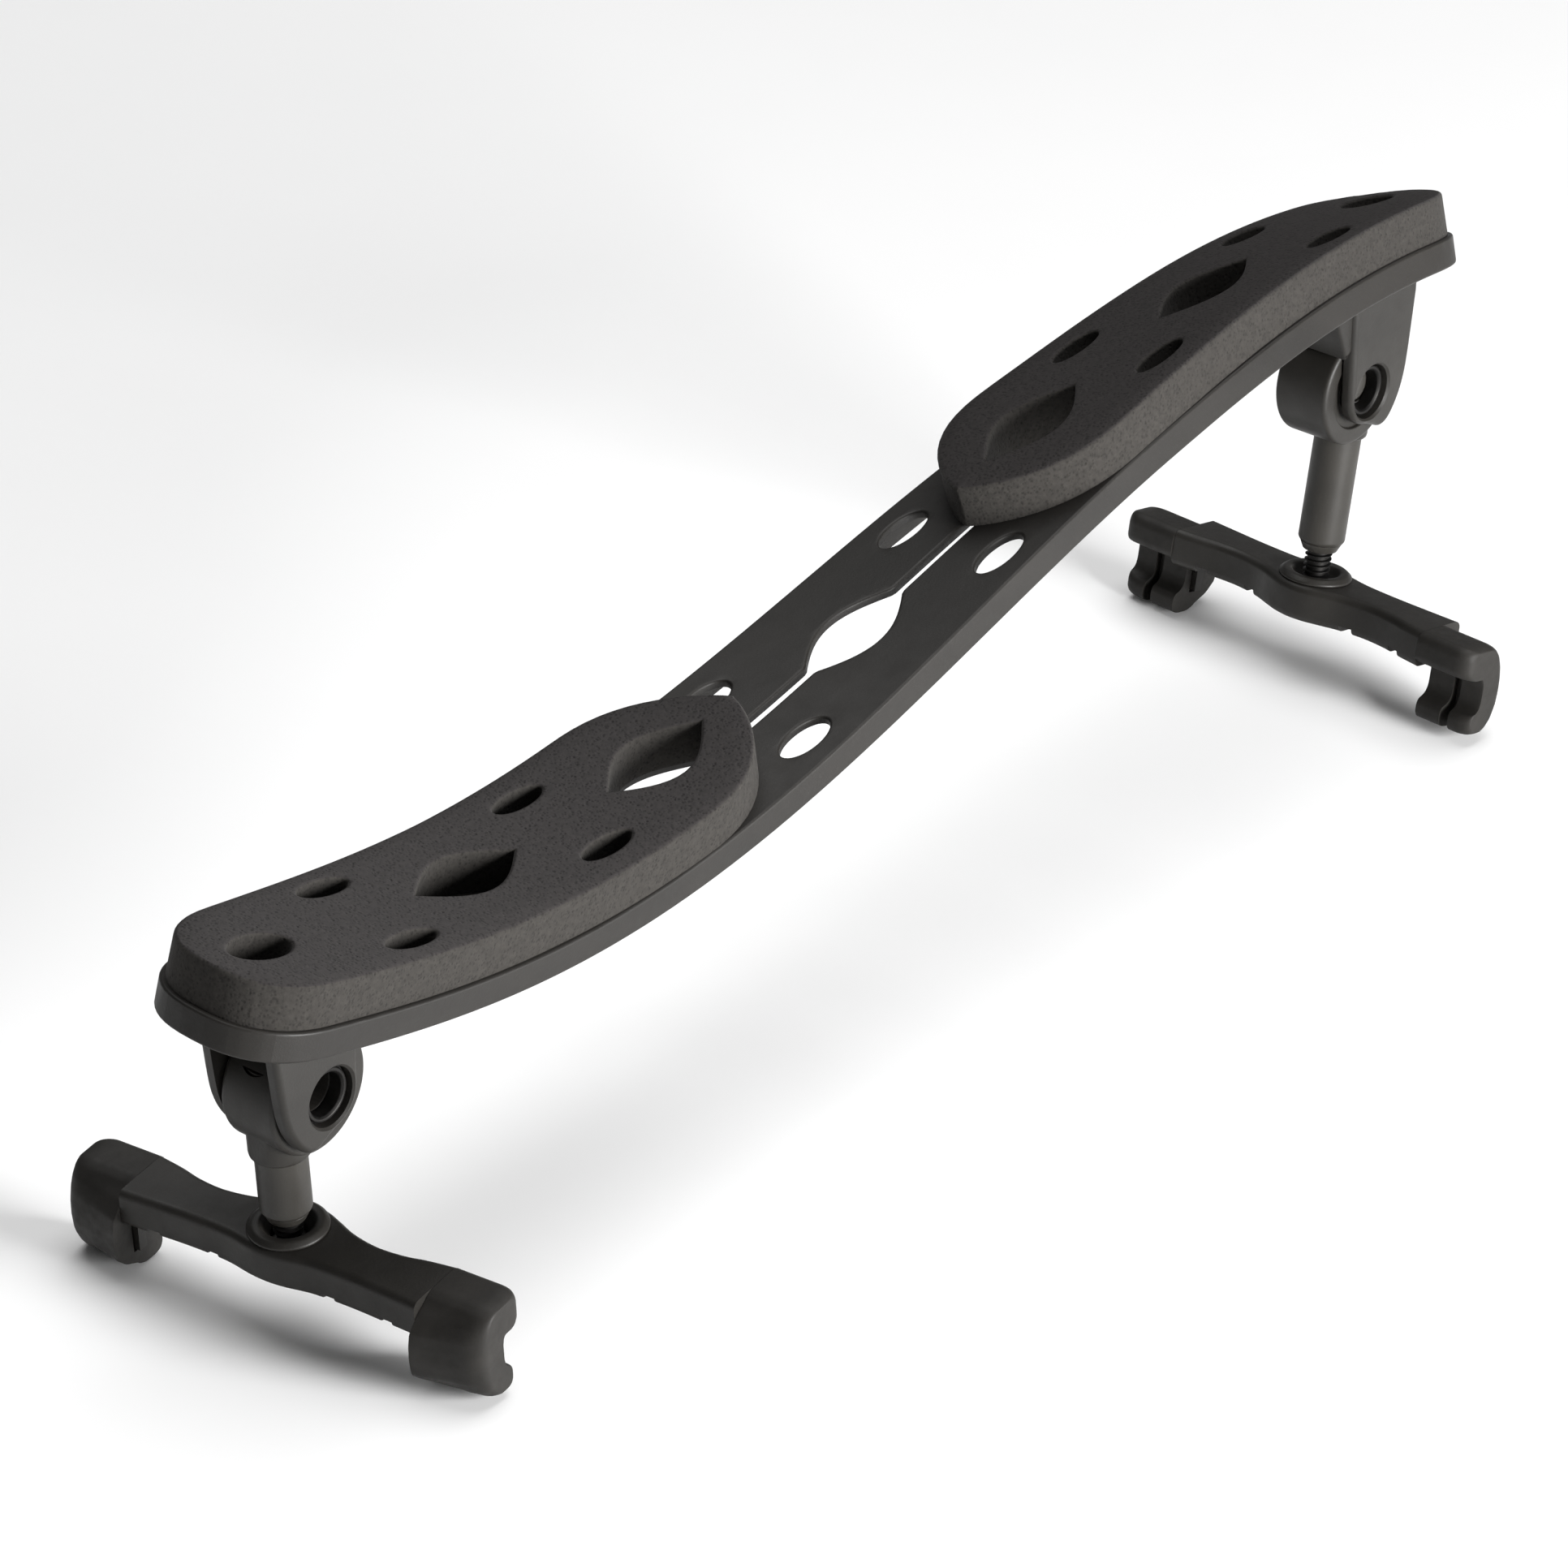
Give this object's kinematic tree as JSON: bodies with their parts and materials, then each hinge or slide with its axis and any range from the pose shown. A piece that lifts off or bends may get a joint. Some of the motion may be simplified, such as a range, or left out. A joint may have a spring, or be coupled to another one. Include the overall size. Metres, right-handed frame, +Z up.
{
  "type": "violin shoulder rest",
  "caption": "Folding shoulder rest for a violin: curved padded plate on two hinged legs whose screw-height forks grip the instrument's lower edge with rubber claws.",
  "frame": {"origin": "on the floor under the middle of the plate, halfway between the two fold axes", "axes": "+X along the plate from the low end to the high end, +Z up from the floor towards the pads, -Y the front edge"},
  "size_m": [0.2285, 0.0576, 0.0659],
  "materials": {
    "plastic": "dark warm grey glass-filled plastic, satin",
    "foam": "fine-celled dark grey foam, cut edge a little lighter",
    "rubber": "dark soft rubber, matte",
    "black_steel": "blackened steel"
  },
  "bodies": {
    "plate": {"base_plate": "plastic", "bracket_screw_left": "black_steel", "bracket_screw_right": "black_steel", "foam_pad_left": "foam", "foam_pad_right": "foam", "hinge_bracket_left": "plastic", "hinge_bracket_right": "plastic"},
    "leg_left": {"hinge_bush_left_front": "black_steel", "hinge_bush_left_rear": "black_steel", "leg_hub_left": "plastic", "leg_tube_left": "plastic", "stop_stud_left": "plastic", "thread_insert_left": "plastic"},
    "height_left": {"swivel_ring_left": "plastic"},
    "screw_left": {"height_screw_left": "black_steel"},
    "foot_left": {"claw_grip_left_front": "rubber", "claw_grip_left_rear": "rubber", "fork_foot_left": "plastic"},
    "leg_right": {"hinge_bush_right_front": "black_steel", "hinge_bush_right_rear": "black_steel", "leg_hub_right": "plastic", "leg_tube_right": "plastic", "stop_stud_right": "plastic", "thread_insert_right": "plastic"},
    "height_right": {"swivel_ring_right": "plastic"},
    "screw_right": {"height_screw_right": "black_steel"},
    "foot_right": {"claw_grip_right_front": "rubber", "claw_grip_right_rear": "rubber", "fork_foot_right": "plastic"}
  },
  "joints": [
    {"name": "left_leg_fold", "type": "hinge", "parent": "plate", "child": "leg_left", "pos_m": [-0.0986, 0, 0.03065], "axis": [0, -1, 0], "range_deg": [0, 84]},
    {"name": "left_foot_height", "type": "slide", "parent": "leg_left", "child": "height_left", "axis": [0.0872, 0, -0.9962], "range_m": [-0.0005, 0.008]},
    {"name": "left_screw_turn", "type": "hinge", "parent": "height_left", "child": "screw_left", "pos_m": [-0.1, 0, 0.01226], "axis": [0.0872, 0, -0.9962], "range_deg": [-261.1, 4118.3]},
    {"name": "left_foot_swivel", "type": "hinge", "parent": "height_left", "child": "foot_left", "pos_m": [-0.1, 0, 0.01226], "axis": [0.0872, 0, -0.9962], "range_deg": [-25, 25]},
    {"name": "right_leg_fold", "type": "hinge", "parent": "plate", "child": "leg_right", "pos_m": [0.0978, 0, 0.03962], "axis": [0, 1, 0], "range_deg": [0, 86]},
    {"name": "right_foot_height", "type": "slide", "parent": "leg_right", "child": "height_right", "axis": [-0.1908, 0, -0.9816], "range_m": [-0.0025, 0.006]},
    {"name": "right_screw_turn", "type": "hinge", "parent": "height_right", "child": "screw_right", "pos_m": [0.09557, 0, 0.01245], "axis": [-0.1908, 0, -0.9816], "range_deg": [-1289.7, 3089.7]},
    {"name": "right_foot_swivel", "type": "hinge", "parent": "height_right", "child": "foot_right", "pos_m": [0.09557, 0, 0.01245], "axis": [-0.1908, 0, -0.9816], "range_deg": [-25, 25]}
  ],
  "couplings": [
    {"joint": "left_screw_turn", "follows": "left_foot_height", "rad_per_m": 8976},
    {"joint": "right_screw_turn", "follows": "right_foot_height", "rad_per_m": 8976}
  ]
}
